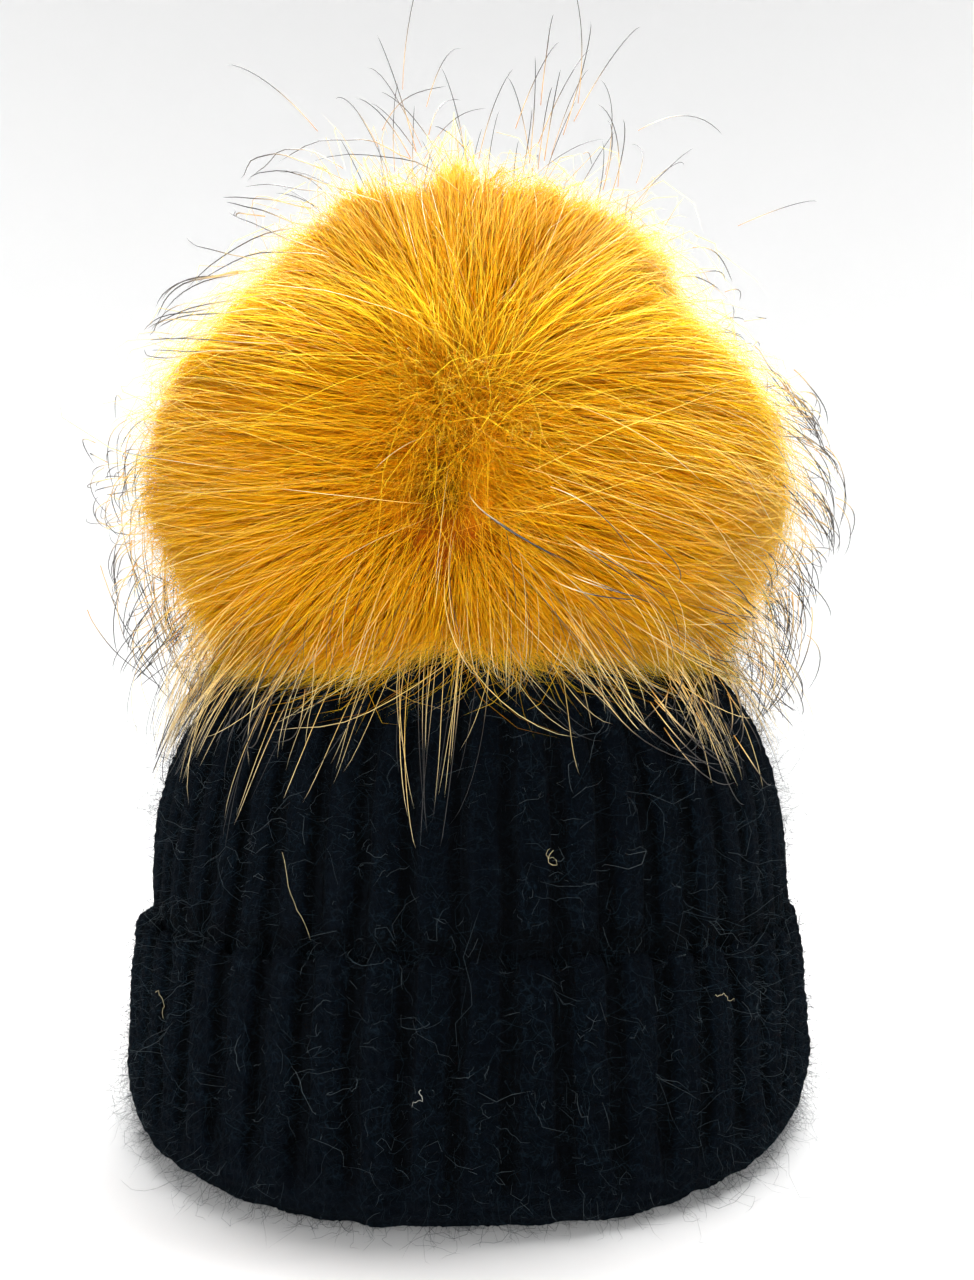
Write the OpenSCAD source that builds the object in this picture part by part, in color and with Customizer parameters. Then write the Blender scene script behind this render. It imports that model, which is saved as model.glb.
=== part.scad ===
// Rib-knit beanie with a turned-up cuff and a large fur pom-pom that snaps on to the crown.
// +Z is up. The origin is the centre of the cuff's bottom fold, on the surface that the hat stands on.
// Sizes are millimetres. +Y is the back of the hat, where the knitting is seamed.

/* [Cuff] */
// Outer radius of the turned-up cuff
cuff_r = 80; // [76:1:84]
// Height of the cuff, below its cast-on edge
cuff_h = 42.5; // [38:0.5:46]
// Thickness of one layer of the knitting
knit_t = 4; // [3.6:0.1:4.4]
// Height over which the bottom fold rounds out to the cuff's side
fold_h = 13.5; // [10:0.5:16]
// Width over which the bottom fold rounds out to the cuff's side
fold_w = 5.5; // [4.8:0.1:6]
// Radius of the rolled cast-on edge
edge_r = 1.4; // [1:0.1:1.6]

/* [Body and crown] */
// Height at which the tube starts to close towards the crown
shoulder_z = 50; // [48:1:52]
// Height of the top of the crown
crown_z = 120; // [118:1:124]
// Squareness of the crown's shoulder, where 2 is an ellipse
crown_power = 2.5; // [2.3:0.1:2.7]
// Thickness of the fleece band inside
lining_t = 1.2; // [1:0.1:1.6]
// Height of the lower edge of the fleece band
lining_z = 6; // [5:0.5:8]

/* [Snap fastener] */
// Radius of the sewn plates of the stud and the socket
snap_r = 7.5; // [7:0.5:9]
// Radius of the stud
stud_r = 3.2; // [3:0.1:3.4]
// Height of the stud above its plate
stud_h = 3.5; // [3.4:0.1:4]

/* [Pom-pom] */
// Radius of the dense fur
fur_r = 80; // [76:1:82]
// Height of the middle of the dense fur
fur_z = 147.6; // [145:0.2:150]
// Radius of the stuffed ball of pelt that carries the fur
pelt_r = 27; // [24:1:30]
// Thickness of the pelt
pelt_t = 1.5; // [1:0.1:2]
// How far the guard hair stands out of the dense fur at the sides
guard_side = 22; // [18:1:24]
// How much further the guard hair stands out at the top
guard_top_extra = 12; // [8:1:14]
// How far the pom-pom leans over on the crown
tilt_limit = 5; // [3:1:8]

/* [Hidden] */
$fn = 96;

// Gap between layers that lie on each other
gap = 0.3;
// Radii of the knitted tube inside the cuff
body_r = cuff_r - knit_t - gap;
body_in_r = body_r - knit_t;
// Height of the end of the tube above the fold that it turns into
body_bottom = knit_t + gap;
lining_r = body_in_r - 0.2;
lining_in_r = lining_r - lining_t;
lining_top = cuff_h + edge_r;
// Heights of the snap fastener, from the crown upwards
plate_t = 1;
plate_z = crown_z + 0.1;
stitch_t = 0.4;
socket_z = plate_z + plate_t + stitch_t + 0.2;
stud_top = plate_z + plate_t + stud_h;
socket_top = stud_top + 0.8;
ring_z = socket_z + 1.3;
ring_t = 0.7;
ring_w = 1.05;
run = 0.05;
// Heights of the pom-pom's base
disc_r = 16;
disc_t = 1.5;
disc_z = socket_top + 0.1;
pivot_z = disc_z + disc_t;
pelt_z = pivot_z + 2.3 + pelt_r;
// The care label hangs inside the left side of the tube
label_w = 26;
label_h = 28;
label_t = 0.6;
label_x = -(body_in_r - 5.2);
label_top = shoulder_z + 23.5;
label_bar_w = 16;
sew_r = snap_r - 1.7;

// A point on the outline of the crown, for an outline of radius a that rises by b above the shoulder.
function crown_point(a, b, t) =
    [a * pow(cos(t), 2 / crown_power), shoulder_z + b * pow(sin(t), 2 / crown_power)];

// That point as the tilted pom-pom meets it, with room left above it.
function tilted(p, angle, room) = let (dz = p[1] - pivot_z)
    [p[0] * cos(angle) - dz * sin(angle), pivot_z + p[0] * sin(angle) + dz * cos(angle) + room];

// A ring of round section
module ring(radius, tube, z) {
    translate([0, 0, z]) rotate_extrude() translate([radius, 0]) circle(r = tube, $fn = 32);
}

// Small thread beads in a circle
module thread_beads(count, radius, z, bead_r) {
    for (i = [0 : count - 1]) {
        rotate([0, 0, 360 * (i + 0.5) / count]) translate([radius, 0, z])
            cylinder(h = stitch_t, r = bead_r, $fn = 24);
    }
}

// The tube of knitting from the fold up, closed over at the crown
module knit_body() {
    color([0.06, 0.09, 0.13]) rotate_extrude() polygon(concat(
        [[body_in_r, body_bottom], [body_r, body_bottom]],
        [for (t = [0 : 7.5 : 90]) crown_point(body_r, crown_z - shoulder_z, t)],
        [for (t = [90 : -7.5 : 0]) crown_point(body_in_r, crown_z - knit_t - shoulder_z, t)]
    ));
}

// The outer layer of knitting and the soft fold that the hat stands on
module turned_up_cuff() {
    color([0.07, 0.10, 0.14]) rotate_extrude() polygon(concat(
        [[body_in_r + 0.8, 0]],
        [for (t = [0 : 10 : 90]) [cuff_r - fold_w * (1 - sin(t)), fold_h * (1 - cos(t))]],
        [[cuff_r, cuff_h], [cuff_r - knit_t, cuff_h], [cuff_r - knit_t, knit_t], [body_in_r, knit_t]],
        [[body_in_r, 1]]
    ));
}

// The rolled first row of stitches along the cuff's top
module cuff_cast_on_edge() {
    color([0.09, 0.12, 0.17]) ring(cuff_r - edge_r, edge_r, cuff_h + edge_r + 0.1);
}

// The soft band against the forehead
module fleece_lining() {
    color([0.10, 0.11, 0.14]) translate([0, 0, lining_z]) difference() {
        cylinder(h = lining_top - lining_z, r = lining_r);
        translate([0, 0, -1]) cylinder(h = lining_top - lining_z + 2, r = lining_in_r);
    }
}

// The line of thread along the fleece band's upper edge
module lining_stitches() {
    color([0.15, 0.16, 0.20]) ring(lining_in_r + lining_t / 2, 0.5, lining_top + 0.6);
}

// The seam allowance up the inside of the back
module back_seam() {
    color([0.05, 0.07, 0.10]) translate([0, body_in_r - 2.9, lining_top + 1.5])
        cylinder(h = shoulder_z + 19 - lining_top, r = 0.8, $fn = 32);
}

// The yarn that draws the crown's last stitches together
module crown_gathering_yarn() {
    color([0.08, 0.10, 0.14]) ring(snap_r + 3.5, 0.8, crown_z + 0.9);
}

// The felt patch inside the crown that takes the pull of the snap
module crown_backing_patch() {
    color([0.12, 0.13, 0.16]) translate([0, 0, crown_z - knit_t - 2]) cylinder(h = 1.2, r = 13);
}

// The male half of the snap, sewn on to the crown
module snap_stud() {
    color([0.62, 0.62, 0.64]) rotate_extrude() polygon([
        [0, plate_z], [snap_r, plate_z], [snap_r, plate_z + plate_t], [stud_r, plate_z + plate_t],
        [stud_r, stud_top - 0.6], [stud_r - 0.6, stud_top], [0, stud_top]
    ]);
}

module stud_stitches() {
    color([0.08, 0.09, 0.12]) thread_beads(4, sew_r, plate_z + plate_t, 0.6);
}

// The short bar of thread that the label hangs from
module label_stitches() {
    color([0.15, 0.16, 0.20]) translate([label_x - 0.8, -label_bar_w / 2, label_top + 0.6])
        cube([1, label_bar_w, 1.2]);
}

// A blank woven label, hanging straight down
module care_label() {
    color([0.85, 0.85, 0.83]) translate([label_x - label_t / 2, -label_w / 2, label_top - label_h])
        cube([label_t, label_w, label_h]);
}

// The spring wire that grips the stud, free to turn in its groove
module snap_ring_spring() {
    color([0.70, 0.70, 0.72]) translate([0, 0, ring_z]) difference() {
        cylinder(h = ring_t, r = stud_r + run + ring_w);
        translate([0, 0, -1]) cylinder(h = ring_t + 2, r = stud_r + run);
    }
}

// The female half of the snap, with the groove that keeps the spring
module snap_socket() {
    color([0.60, 0.60, 0.62]) difference() {
        translate([0, 0, socket_z]) cylinder(h = socket_top - socket_z, r = snap_r);
        translate([0, 0, socket_z - 1]) cylinder(h = stud_top + 0.2 - socket_z + 1, r = stud_r + run);
        translate([0, 0, ring_z - 0.1]) cylinder(h = ring_t + 0.2, r = stud_r + run + ring_w + 0.1);
    }
}

// The stiff felt disc under the pom-pom
module pompom_base_disc() {
    color([0.10, 0.10, 0.11]) translate([0, 0, disc_z]) cylinder(h = disc_t, r = disc_r);
}

module socket_stitches() {
    color([0.12, 0.12, 0.13]) thread_beads(4, sew_r + 1.5, pivot_z, 0.6);
}

// The hide of the pom-pom, a ball left open where it is drawn together
module pompom_pelt() {
    color([0.80, 0.62, 0.35]) difference() {
        translate([0, 0, pelt_z]) sphere(r = pelt_r);
        translate([0, 0, pelt_z]) sphere(r = pelt_r - pelt_t);
        translate([0, 0, pelt_z - pelt_r - 1]) cylinder(h = pelt_t + 2, r = 2.4);
    }
}

module pompom_stuffing() {
    color([0.95, 0.95, 0.93]) translate([0, 0, pelt_z]) sphere(r = pelt_r - pelt_t - 0.2);
}

// The thread that gathers the pelt's edge under the ball
module pompom_draw_thread() {
    color([0.85, 0.80, 0.65]) ring(3.4, 0.6, pelt_z - pelt_r - 0.5);
}

// The dense fur, hollowed underneath so that it clears the crown when it leans over
module pompom_underfur() {
    color([0.90, 0.62, 0.12]) difference() {
        translate([0, 0, fur_z]) sphere(r = fur_r);
        translate([0, 0, pelt_z]) sphere(r = pelt_r + 0.3);
        rotate_extrude() polygon(concat(
            [[0, 0], [0, pivot_z + 4], [disc_r + 3, pivot_z + 4]],
            [for (t = [75 : -7.5 : 15]) tilted(crown_point(body_r, crown_z - shoulder_z, t), tilt_limit, 1.5)],
            [[fur_r + 5, shoulder_z], [fur_r + 5, 0]]
        ));
    }
}

// The long hairs that stand out of the dense fur, gathered in slender tufts
module pompom_guard_hair() {
    color([0.96, 0.88, 0.68]) {
        for (el = [-14 : 20 : 66]) {
            count = el > 40 ? 12 : 16;
            for (i = [0 : count - 1]) {
                translate([0, 0, fur_z]) rotate([0, 90 - el, 360 * i / count]) guard_tuft(el);
            }
        }
        translate([0, 0, fur_z]) guard_tuft(90);
    }
}

module guard_tuft(elevation) {
    translate([0, 0, fur_r + 0.4])
        cylinder(h = guard_side + guard_top_extra * pow(sin(max(elevation, 0)), 2), r1 = 1.4, r2 = 0.3, $fn = 16);
}

knit_body();
turned_up_cuff();
cuff_cast_on_edge();
fleece_lining();
lining_stitches();
back_seam();
crown_gathering_yarn();
crown_backing_patch();
snap_stud();
stud_stitches();
label_stitches();
care_label();
snap_ring_spring();
snap_socket();
pompom_base_disc();
socket_stitches();
pompom_pelt();
pompom_stuffing();
pompom_draw_thread();
pompom_underfur();
pompom_guard_hair();
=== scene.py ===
"""Looks of a rib-knit beanie with a large fur pom-pom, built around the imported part. Units are metres, +Z up.
Fur, fuzz and guard hair are meshes of tapered strands; the knitting is a relief of ribs and stitches."""

import math

import bmesh
import bpy
import numpy as np
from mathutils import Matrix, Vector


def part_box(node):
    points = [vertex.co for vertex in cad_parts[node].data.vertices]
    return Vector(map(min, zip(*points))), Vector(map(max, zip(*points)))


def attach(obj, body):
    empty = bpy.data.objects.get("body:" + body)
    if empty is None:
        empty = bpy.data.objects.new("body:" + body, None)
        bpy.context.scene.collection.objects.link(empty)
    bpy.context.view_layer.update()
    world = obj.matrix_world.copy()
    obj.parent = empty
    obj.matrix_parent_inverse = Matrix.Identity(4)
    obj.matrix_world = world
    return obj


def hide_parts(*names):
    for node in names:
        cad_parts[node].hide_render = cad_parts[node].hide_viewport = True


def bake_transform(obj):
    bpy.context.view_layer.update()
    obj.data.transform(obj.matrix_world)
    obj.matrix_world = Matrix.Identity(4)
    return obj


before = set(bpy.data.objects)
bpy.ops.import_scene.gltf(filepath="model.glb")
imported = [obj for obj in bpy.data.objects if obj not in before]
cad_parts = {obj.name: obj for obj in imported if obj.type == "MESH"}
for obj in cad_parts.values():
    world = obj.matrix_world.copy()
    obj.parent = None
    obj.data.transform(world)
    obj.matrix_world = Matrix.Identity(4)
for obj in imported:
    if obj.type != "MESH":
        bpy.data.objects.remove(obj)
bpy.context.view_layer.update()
MM = 0.001
TAU = 2 * math.pi
UP = np.array([0, 0, 1.0])


# ---------------------------------------------------------------- sizes from the frame

def span(node):
    """Lowest and highest corner of a CAD node, as arrays."""
    low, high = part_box(node)
    return np.array(low), np.array(high)


CUFF_R = span("turned_up_cuff")[1][0]
CUFF_TOP = span("cuff_cast_on_edge")[1][2]
BODY_R, _, CROWN_TOP = span("knit_body")[1]
FUR_LOW, FUR_HIGH = span("pompom_underfur")
PELT_LOW, PELT_HIGH = span("pompom_pelt")
LINING_LOW, LINING_HIGH = span("fleece_lining")
DISC_LOW, DISC_HIGH = span("pompom_base_disc")
LABEL_LOW, LABEL_HIGH = span("care_label")

PELT_R = (PELT_HIGH[0] - PELT_LOW[0]) / 2
PELT_C = (PELT_LOW + PELT_HIGH) / 2
FUR_R = (FUR_HIGH[0] - FUR_LOW[0]) / 2
FUR_MIDDLE_Z = FUR_HIGH[2] - FUR_R

# The crown is a superellipse above the shoulder. The knitting has this wall, and its ribs stand this proud of it.
SHOULDER_Z = 50 * MM
CROWN_POWER = 2.5
WALL = 4 * MM
PROUD = 0.9 * MM

# Ribs round the hat, wales in each rib with its valley, and the height of a row of stitches.
RIBS = 52
WALES_PER_RIB = 5
STITCH_ROW = 2.6 * MM


# ---------------------------------------------------------------- meshes from arrays

def mesh_object(name, verts, faces, attributes=None, uv=None):
    """A smooth mesh object from arrays of vertices and of faces that all have as many corners."""
    sides = faces.shape[1]
    mesh = bpy.data.meshes.new(name)
    mesh.vertices.add(len(verts))
    mesh.vertices.foreach_set("co", np.asarray(verts, np.float32).ravel())
    mesh.loops.add(faces.size)
    mesh.loops.foreach_set("vertex_index", np.asarray(faces, np.int32).ravel())
    mesh.polygons.add(len(faces))
    mesh.polygons.foreach_set("loop_start", np.arange(0, faces.size, sides, dtype=np.int32))
    mesh.polygons.foreach_set("use_smooth", np.full(len(faces), True))
    for key, values in (attributes or {}).items():
        layer = mesh.attributes.new(key, "FLOAT", "POINT")
        layer.data.foreach_set("value", np.asarray(values, np.float32).ravel())
    if uv is not None:
        layer = mesh.uv_layers.new(name="knit")
        layer.data.foreach_set("uv", np.asarray(uv, np.float32)[faces.ravel()].ravel())
    mesh.update(calc_edges=True)
    obj = bpy.data.objects.new(name, mesh)
    bpy.context.scene.collection.objects.link(obj)
    return obj


def unit(v):
    """The vectors v at length one."""
    return v / np.maximum(np.linalg.norm(v, axis=-1, keepdims=True), 1e-12)


def strands(name, paths, radii, tones, rng, sides=3):
    """Closed tubes that taper to a point. paths is (n, k, 3), radii (n, k - 1), tones (n,).
    Each vertex holds how far it is along its strand and its strand's tone."""
    n, k, _ = paths.shape
    rings = k - 1
    along = np.gradient(paths, axis=1)
    tangent = unit(along[:, :rings])
    side = unit(np.cross(tangent, rng.normal(size=(n, 1, 3))))
    other = np.cross(tangent, side)
    corner = np.arange(sides) * TAU / sides
    ring = side[:, :, None] * np.cos(corner)[:, None] + other[:, :, None] * np.sin(corner)[:, None]
    tube = paths[:, :rings, None] + ring * radii[:, :, None, None]
    verts = np.concatenate([tube.reshape(n, rings * sides, 3), paths[:, rings:]], axis=1)
    faces = [[0, c + 1, c] for c in range(1, sides - 1)]
    for row in range(0, (rings - 1) * sides, sides):
        for c in range(sides):
            a, b = row + c, row + (c + 1) % sides
            faces += [[a, b, b + sides], [a, b + sides, a + sides]]
    last = (rings - 1) * sides
    faces += [[last + c, last + (c + 1) % sides, rings * sides] for c in range(sides)]
    per_strand = rings * sides + 1
    faces = np.array(faces)[None] + np.arange(n)[:, None, None] * per_strand
    step = np.concatenate([np.repeat(np.arange(rings), sides), [rings]]) / rings
    return mesh_object(name, verts.reshape(-1, 3), faces.reshape(-1, 3), attributes={
        "along": np.tile(step, n),
        "tone": np.repeat(tones, per_strand),
    })


def row_quads(m, n, wrapped=False):
    """Quads between m rings of n points, and from the last ring to the first if wrapped."""
    i = np.arange(m if wrapped else m - 1)[:, None]
    j = np.arange(n)[None]
    above, beside = (i + 1) % m, (j + 1) % n
    return np.stack([i * n + j, i * n + beside, above * n + beside, above * n + j], axis=-1).reshape(-1, 4)


def loft(name, rows, closed_rows=False, attributes=None, uv=None):
    """A closed surface through rows of points, each row a ring: rows is (m, n, 3). The last row joins the first
    if closed_rows, and otherwise both ends are filled in."""
    quads = row_quads(*rows.shape[:2], wrapped=closed_rows)
    obj = mesh_object(name, rows.reshape(-1, 3), quads, attributes=attributes, uv=uv)
    if not closed_rows:
        shape = bmesh.new()
        shape.from_mesh(obj.data)
        bmesh.ops.holes_fill(shape, edges=[e for e in shape.edges if e.is_boundary], sides=0)
        shape.to_mesh(obj.data)
        shape.free()
    return obj


def tube(name, points, radius, sides=10, closed=False):
    """A round tube along points, with domed ends unless it is closed."""
    points = np.asarray(points, float)
    tangent = unit(np.gradient(points, axis=0))
    if closed:
        tangent = unit(np.roll(points, -1, 0) - np.roll(points, 1, 0))
    guide = np.array([0.31, 0.17, 0.93])
    side = unit(np.cross(tangent, guide))
    other = np.cross(tangent, side)
    angle = np.arange(sides) * TAU / sides
    ring = side[:, None] * np.cos(angle)[:, None] + other[:, None] * np.sin(angle)[:, None]
    size = np.full(len(points), radius)
    if not closed:
        dome = tangent * radius * 0.7
        points = np.concatenate([points[:1] - dome[:1], points, points[-1:] + dome[-1:]])
        ring = np.concatenate([ring[:1], ring, ring[-1:]])
        size = np.concatenate([[radius * 0.08], size, [radius * 0.08]])
    return loft(name, points[:, None] + ring * size[:, None, None], closed_rows=closed)


def smooth_noise(points, scale, seed, octaves=3):
    """Smooth noise from about -1 to 1: a sum of sine waves in random directions."""
    rng = np.random.default_rng(seed)
    total = np.zeros(points.shape[:-1])
    weight = 0.0
    for octave in range(octaves):
        share = 0.55 ** octave
        for _ in range(5):
            wave = unit(rng.normal(size=3)) * TAU / scale * 1.9 ** octave * rng.uniform(0.7, 1.3)
            total += share * np.sin(points @ wave + rng.uniform(0, TAU))
            weight += share * 0.42
    return total / weight


def smoothstep(low, high, x):
    """Rises smoothly from 0 where x is low to 1 where it is high."""
    t = np.clip((x - low) / (high - low), 0, 1)
    return t * t * (3 - 2 * t)


# ---------------------------------------------------------------- knitting

def crown_profile(t, radius, top):
    """(r, z) on the crown's outline for t from 0, the shoulder, to 1, the apex."""
    angle = t * math.pi / 2
    r = radius * np.cos(angle) ** (2 / CROWN_POWER)
    z = SHOULDER_Z + (top - SHOULDER_Z) * np.sin(angle) ** (2 / CROWN_POWER)
    return r, z


def distances(r, z):
    """The distance along the line through (r, z) at each of its points."""
    return np.concatenate([[0], np.cumsum(np.hypot(np.diff(r), np.diff(z)))])


def even_steps(r, z, count):
    """Points spread evenly along the line through (r, z), with the distance along it."""
    length = distances(r, z)
    at = np.linspace(0, length[-1], count)
    return np.interp(at, length, r), np.interp(at, length, z), at


def rib_relief(turn, run, depth):
    """Heights of the ribs above the valleys, and of the stitches on them: raised ribs of three wales between two
    sunken ones. turn counts ribs round the hat and run is the distance along them."""
    phase = turn % 1.0
    body = smoothstep(0.0, 0.18, phase) * (1 - smoothstep(0.64, 0.84, phase))
    crowned = body * (0.84 + 0.16 * np.sin(np.clip((phase - 0.02) / 0.8, 0, 1) * math.pi))
    across = np.abs((turn * WALES_PER_RIB) % 1.0 - 0.5) * 2
    vees = np.cos(TAU * (run / STITCH_ROW + across * 0.45))
    return depth * crowned, 0.16 * MM * vees * (0.35 + 0.65 * body) - 0.30 * MM * across ** 2 * body


def knit_surface(name, line, columns, depth, seed, slump, inner, unevenness=1.0, shade_behind_cuff=False):
    """A closed skin of knitting: the outer line (r, z, run) with ribs, and the inner line (r, z), plain, joined at
    both ends. The ribs fade where the fold lies on the ground. Their relief also carries painted shade, and a
    painted shadow where they go behind the cuff."""
    r, z, run = line
    turn = np.arange(columns) / columns * RIBS
    angle = turn / RIBS * TAU - math.pi / 2
    ring = np.stack([np.cos(angle), np.sin(angle), np.zeros(columns)], -1)

    def swept(line_r, line_z):
        return ring[None] * line_r[:, None, None] + UP * line_z[:, None, None]

    dr, dz = np.gradient(r), np.gradient(z)
    size = np.hypot(dr, dz)
    base, normal = swept(r, z), swept(dz / size, -dr / size)
    wobble = 0.075 * smooth_noise(base, 34 * MM, seed, 2)
    rib, stitch = rib_relief(turn + wobble, run[:, None], depth)
    rib = depth + (rib - depth) * (0.10 + 0.90 * smoothstep(2 * MM, 15 * MM, z)[:, None])
    room = np.minimum(1, np.abs(r) / (0.6 * BODY_R))[:, None]
    lumps = 0.55 * smooth_noise(base, 46 * MM, seed + 1, 2) + 0.22 * smooth_noise(base, 9 * MM, seed + 2, 2)
    height = (rib - depth + stitch + unevenness * lumps * MM) * room
    outer = base + normal * height[..., None] + slump(base)
    inside = swept(*inner)
    inside = inside + slump(inside)
    rows = np.concatenate([outer, inside[::-1]])
    # relief is the rib's height from 0 to 1; the knit material also paints shade by it, darker yarn in the valleys
    relief = rib / depth
    # painted shadow of the cuff's edge: the relief, and with it the yarn's colour, is darker within 9 mm of the
    # cuff's top
    if shade_behind_cuff:
        relief = relief * (0.25 + 0.75 * smoothstep(0, 9 * MM, np.abs(z - CUFF_TOP))[:, None])
    relief = np.concatenate([relief, np.full(inside.shape[:2], 0.5)])
    u = np.broadcast_to(turn * WALES_PER_RIB, rows.shape[:2])
    v = np.concatenate([run, run[-1] + np.arange(len(inside)) * 2 * MM])[:, None] / STITCH_ROW + 0 * u
    uv = np.stack([u, v], -1).reshape(-1, 2)
    return loft(name, rows, closed_rows=True, attributes={"relief": relief}, uv=uv), outer, normal


def pushed(p, outwards, upwards):
    """Offsets that move the points p away from the axis and up by these distances."""
    x, y = p[..., 0], p[..., 1]
    r = np.maximum(np.hypot(x, y), 1e-9)
    return np.stack([outwards * x / r, outwards * y / r, upwards], -1)


def slump_cuff(p):
    """How the soft cuff sits: its fold lifts a little at the sides, and its top edge waves."""
    turned, up = np.arctan2(p[..., 1], p[..., 0]), p[..., 2] / CUFF_TOP
    lift = 2.6 * MM * np.abs(np.cos(turned)) ** 3 * np.clip(1 - up, 0, 1)
    wave = (0.9 * MM * np.sin(3 * turned + 0.6) + 0.5 * MM * np.sin(7 * turned + 2.1)) * np.clip(up, 0, 1) ** 2
    bow = 0.6 * MM * np.sin(2 * turned + 0.9) + 0.4 * MM * np.sin(5 * turned)
    return pushed(p, bow, lift + wave)


def slump_body(p):
    """A slight lean and sag of the body above the cuff."""
    turned, z = np.arctan2(p[..., 1], p[..., 0]), p[..., 2]
    above = smoothstep(CUFF_TOP, CUFF_TOP + 18 * MM, z) * (1 - smoothstep(0.8 * CROWN_TOP, CROWN_TOP, z))
    bow = above * (0.8 * MM * np.sin(2 * turned + 2.2) + 0.7 * MM * np.sin(3 * turned))
    return pushed(p, bow, 0 * z)


def knit_cuff():
    """The turned-up cuff, from the inner side of its fold, round the fold, up to the rolled cast-on edge."""
    fold_w, fold_h, under_h = 6.5 * MM, 13.5 * MM, 2.2 * MM
    lean, roll_w, roll_h = 1.3 * MM, 1.71 * MM, 2.4 * MM
    inside_r = BODY_R - WALL + 1.5 * MM
    bottom_r = CUFF_R - fold_w
    fold = np.linspace(-0.5 * math.pi, 0.5 * math.pi, 60)
    across = np.sin(fold)
    r = np.where(across > 0, CUFF_R - fold_w * (1 - across), inside_r + (bottom_r - inside_r) * (1 + across))
    z = np.where(across > 0, fold_h, under_h) * (1 - np.cos(fold))
    top = CUFF_TOP - roll_h
    straight = np.linspace(fold_h, top, 40)[1:]
    roll = np.linspace(0, math.pi, 16)[1:]
    r = np.concatenate([r, CUFF_R - lean * smoothstep(0.55 * CUFF_TOP, CUFF_TOP, straight),
                        CUFF_R - lean - roll_w * (1 - np.cos(roll))])
    z = np.concatenate([z, straight, top + roll_h * np.sin(roll)])
    wall_r = CUFF_R - WALL + 0.1 * MM
    inner = even_steps(np.array([inside_r, wall_r, wall_r, wall_r + 0.2 * MM]),
                       np.array([4.4 * MM, 5.2 * MM, 0.5 * CUFF_TOP, top - 1 * MM]), 7)[:2]
    return knit_surface("knit_cuff", even_steps(r, z, 98), RIBS * 18, 2.3 * MM, 11, slump_cuff, inner)


def knit_tube():
    """The body of the hat, from inside the fold to the gathered crown."""
    out_r = BODY_R + PROUD
    behind = [[BODY_R - 0.2 * MM, 5 * MM], [BODY_R - 0.1 * MM, CUFF_TOP - 4 * MM], [out_r, CUFF_TOP + 1 * MM]]
    crown = crown_profile(np.linspace(0, 1, 200)[:-1], out_r, CROWN_TOP + 0.6 * MM)
    gathered = [[5 * MM, CROWN_TOP + 0.2 * MM], [3.2 * MM, CROWN_TOP - 1.5 * MM]]
    r, z = np.concatenate([behind, np.stack(crown, -1), gathered]).T
    kept = np.concatenate([[True], np.hypot(np.diff(r), np.diff(z)) > 1e-6])
    r, z = r[kept], z[kept]
    hidden, shown = even_steps(r[:2], z[:2], 6), even_steps(r[1:], z[1:], 118)
    r, z = (np.concatenate([hidden[axis][:-1], shown[axis]]) for axis in (0, 1))
    in_r, in_z = crown_profile(np.linspace(0, 0.995, 60), BODY_R - WALL, CROWN_TOP - WALL)
    inner = even_steps(np.concatenate([[BODY_R - WALL], in_r]), np.concatenate([[5 * MM], in_z]), 16)[:2]
    return knit_surface("knit_body_and_crown", (r, z, distances(r, z)), RIBS * 13, 2.1 * MM, 23, slump_body, inner,
                        unevenness=0.9, shade_behind_cuff=True)


def outer_points(outer, normal, low_z, high_z, count, rng):
    """Random points on a knitted surface between two heights, spread evenly over its area, with normals."""
    rows = np.flatnonzero((outer[:, 0, 2] > low_z) & (outer[:, 0, 2] < high_z))
    weight = np.hypot(outer[rows, 0, 0], outer[rows, 0, 1])
    row = rng.choice(rows, size=count, p=weight / weight.sum())
    column = rng.integers(0, outer.shape[1], size=count)
    jitter = rng.normal(size=(count, 3)) * 0.125 * MM
    return outer[row, column] + jitter, unit(normal[row, column])


def fuzz(name, roots, normals, length, radius, points, rng):
    """Fine curly fibres that stand out of and lie along the knitting."""
    n = len(roots)
    tangent = unit(np.cross(normals, rng.normal(size=(n, 3))))
    heading = unit(normals * rng.uniform(0.3, 1.3, (n, 1)) + tangent * 0.9 * rng.uniform(0.2, 1.0, (n, 1)))
    reach = length * rng.gamma(3.2, 1 / 3.2, n)[:, None] / (points - 1)
    path = [roots - normals * 0.35 * MM]
    for _ in range(points - 1):
        path.append(path[-1] + heading * reach)
        heading = unit(heading + rng.normal(size=(n, 3)) * 0.55)
        inward = np.minimum(0, (heading * normals).sum(1, keepdims=True) + 0.12)
        heading = unit(heading - normals * inward * 1.1)
    path = np.stack(path, 1)
    path[..., 2] = np.maximum(path[..., 2], 0.15 * MM)
    taper = np.linspace(1.0, 0.55, points - 1)[None] * radius * rng.uniform(0.7, 1.25, (n, 1))
    return strands(name, path, taper, rng.random(n), rng)


# Stray pale hairs caught on the knitting: azimuth and height in mm where each starts, length in mm, heading in
# degrees from straight down, and how much it kinks.
STRAYS = [(-26, 63, 17, 12, 0.25), (-50, 34, 9, 80, 0.9), (12, 64, 9, -60, 1.0), (-5, 25, 5, 30, 1.2),
          (35, 37, 7, -20, 0.8), (118, 52, 12, 30, 0.5), (-140, 30, 10, -40, 0.8), (165, 70, 11, 60, 0.6)]


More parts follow.
